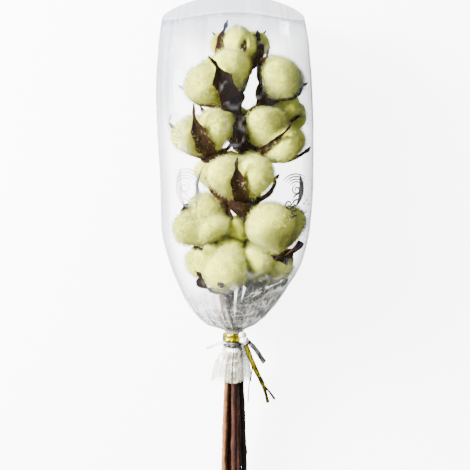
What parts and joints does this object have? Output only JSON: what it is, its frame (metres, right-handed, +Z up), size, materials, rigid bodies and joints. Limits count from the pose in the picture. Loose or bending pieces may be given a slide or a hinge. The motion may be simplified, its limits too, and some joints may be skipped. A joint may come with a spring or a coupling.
{
  "type": "cotton stem bunch",
  "caption": "Bunch of dried cotton stems with open bolls in a clear printed film sleeve, tied at the neck, lying down.",
  "frame": {"origin": "on the surface that the bunch lies on, under the middle of its bounding box", "axes": "+Y from the cut ends towards the bolls, +Z up, away from the surface, +X to the right seen from above"},
  "size_m": [0.131, 0.486, 0.1046],
  "materials": {
    "lint": "soft matte fibre",
    "burr": "dry, wrinkled, matte",
    "stem": "dry bark, matte",
    "film": "clear glossy film",
    "gold_foil": "metallised, glossy",
    "dark_foil": "metallised, glossy",
    "pale_foil": "crumpled, glossy"
  },
  "bodies": {
    "root": {"stem_1": "stem", "stem_2": "stem", "stem_3": "stem", "stem_4": "stem", "stem_5": "stem", "boll_f_burr": "burr", "boll_f_lint": "lint", "boll_b_burr": "burr", "boll_b_lint": "lint", "boll_c_burr": "burr", "boll_c_lint": "lint", "boll_d_burr": "burr", "boll_d_lint": "lint", "boll_h_burr": "burr", "boll_h_lint": "lint", "boll_j_burr": "burr", "boll_j_lint": "lint", "boll_g_burr": "burr", "boll_g_lint": "lint", "boll_e_burr": "burr", "boll_e_lint": "lint", "boll_a_burr": "burr", "boll_a_lint": "lint", "boll_i_burr": "burr", "boll_i_lint": "lint", "boll_k_burr": "burr", "boll_k_lint": "lint", "boll_m_burr": "burr", "boll_m_lint": "lint", "boll_n_burr": "burr", "boll_n_lint": "lint", "boll_p_burr": "burr", "boll_p_lint": "lint", "sleeve": "film", "tie_band": "gold_foil", "tie_knot": "pale_foil", "tie_tail_gold": "gold_foil", "tie_tail_dark": "dark_foil"}
  },
  "joints": []
}
